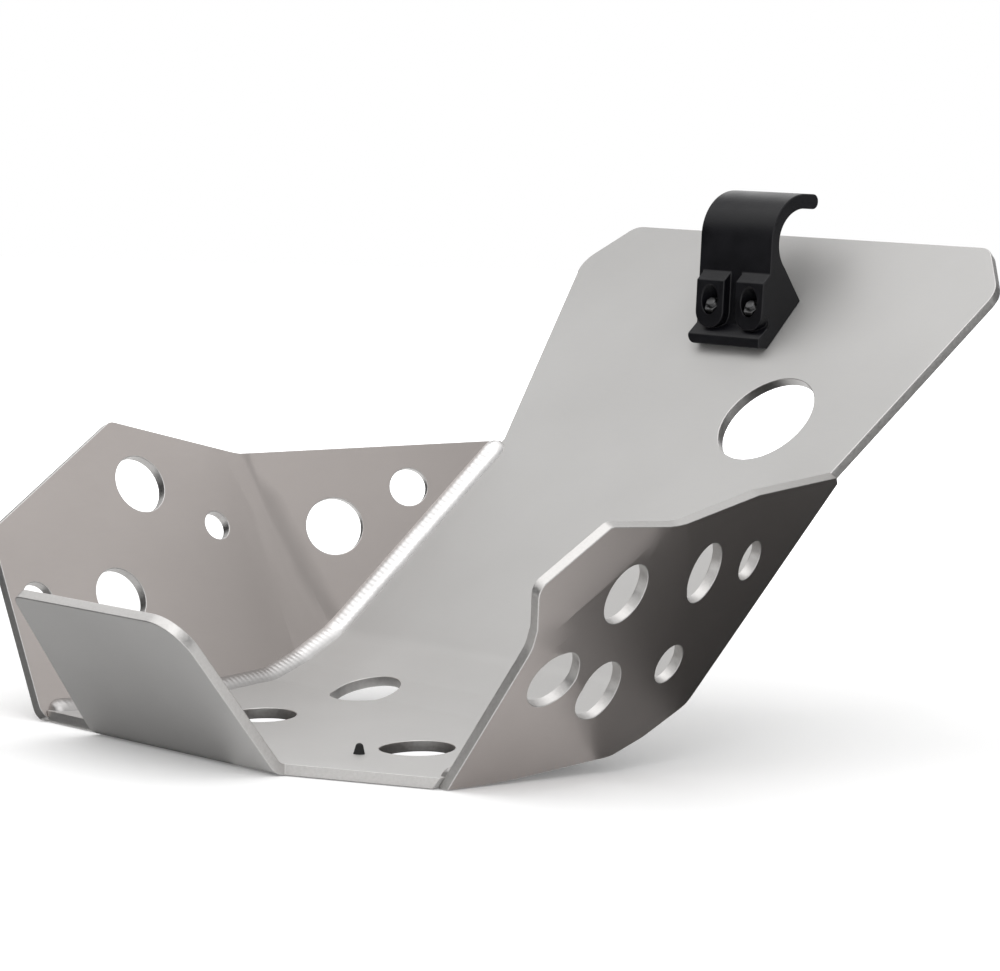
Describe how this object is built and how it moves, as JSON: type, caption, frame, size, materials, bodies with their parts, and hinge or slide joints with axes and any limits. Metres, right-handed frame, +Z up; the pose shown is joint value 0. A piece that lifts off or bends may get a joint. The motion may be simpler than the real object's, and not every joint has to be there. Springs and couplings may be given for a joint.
{
  "type": "motorcycle skid plate",
  "caption": "Folded aluminium motorcycle skid plate with a raised nose, flared welded wings with round holes, a leaning rear tab and a black moulded hook for the frame tube.",
  "frame": {"origin": "on the ground under the middle of the whole object", "axes": "+X to the rider's right, +Y forwards to the nose, +Z up; the floor lies flat as on the motorcycle"},
  "size_m": [0.333, 0.4122, 0.2453],
  "materials": {
    "plate": "satin, finely grained",
    "wing": "satin, finely grained",
    "weld": "bright, rippled",
    "hook": "moulded, semi-matte",
    "steel": "zinc plated",
    "rubber": "matte"
  },
  "bodies": {
    "root": {"centre_plate": "plate", "left_wing": "wing", "right_wing": "wing", "left_weld": "weld", "right_weld": "weld", "frame_hook": "hook", "hook_screws": "steel", "hook_nuts": "steel", "bump_stop": "rubber"}
  },
  "joints": []
}
